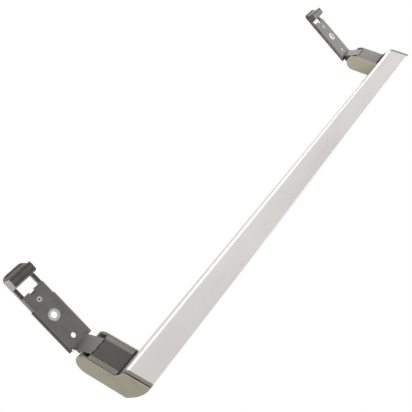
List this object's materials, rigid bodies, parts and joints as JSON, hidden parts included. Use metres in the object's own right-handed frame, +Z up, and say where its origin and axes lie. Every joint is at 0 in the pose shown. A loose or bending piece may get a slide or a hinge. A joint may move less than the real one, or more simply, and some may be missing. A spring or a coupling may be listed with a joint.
{
  "type": "door pull",
  "caption": "Long door pull whose bar hangs on hinged arms; drawing the bar drives slides that push the door off its cabinet.",
  "frame": {"origin": "centre of the lower bracket's main hole, on the face that lies on the side of the door", "axes": "+Z up along the bar, +Y back along the side of the door, +X away from that side"},
  "size_m": [0.0585, 0.1219, 0.5376],
  "materials": {
    "bar_aluminium": "satin anodised",
    "arm_casting": "satin paint on a zinc casting",
    "cover_plastic": "fine matt moulding",
    "panel_plastic": "fine matt moulding",
    "plated_screw": "zinc plated",
    "plated_sheet": "zinc plated sheet",
    "bright_ring": "turned and nickel plated",
    "steel_pin": "ground",
    "spring_steel": "drawn wire",
    "pusher_plastic": "fine matt moulding"
  },
  "bodies": {
    "mounting": {"lower_bracket": "plated_sheet", "lower_bushing": "bright_ring", "lower_rivet": "bright_ring", "lower_hinge_pin": "steel_pin", "lower_torsion_spring": "spring_steel", "upper_bracket": "plated_sheet", "upper_bushing": "bright_ring", "upper_rivet": "bright_ring", "upper_hinge_pin": "steel_pin", "upper_torsion_spring": "spring_steel"},
    "lever": {"grip_bar": "bar_aluminium", "lower_arm": "arm_casting", "lower_arm_cover": "cover_plastic", "lower_arm_panel": "panel_plastic", "lower_arm_screw": "plated_screw", "upper_arm": "arm_casting", "upper_arm_cover": "cover_plastic", "upper_arm_panel": "panel_plastic", "upper_arm_screw": "plated_screw"},
    "lower_slide": {"lower_pusher": "pusher_plastic"},
    "upper_slide": {"upper_pusher": "pusher_plastic"}
  },
  "joints": [
    {"name": "lever_hinge", "type": "hinge", "parent": "mounting", "child": "lever", "pos_m": [-0.0072, -0.041, 0.255], "axis": [0, 0, 1], "range_deg": [0, 26], "stiffness_Nm_per_rad": 1, "springref_deg": -11.46},
    {"name": "lower_pusher_slide", "type": "slide", "parent": "mounting", "child": "lower_slide", "axis": [0, 1, 0], "range_m": [0, 0.00415]},
    {"name": "upper_pusher_slide", "type": "slide", "parent": "mounting", "child": "upper_slide", "axis": [0, 1, 0], "range_m": [0, 0.00415]}
  ],
  "couplings": [
    {"joint": "lower_pusher_slide", "follows": "lever_hinge", "m_per_rad": 0.009145},
    {"joint": "upper_pusher_slide", "follows": "lever_hinge", "m_per_rad": 0.009145}
  ]
}
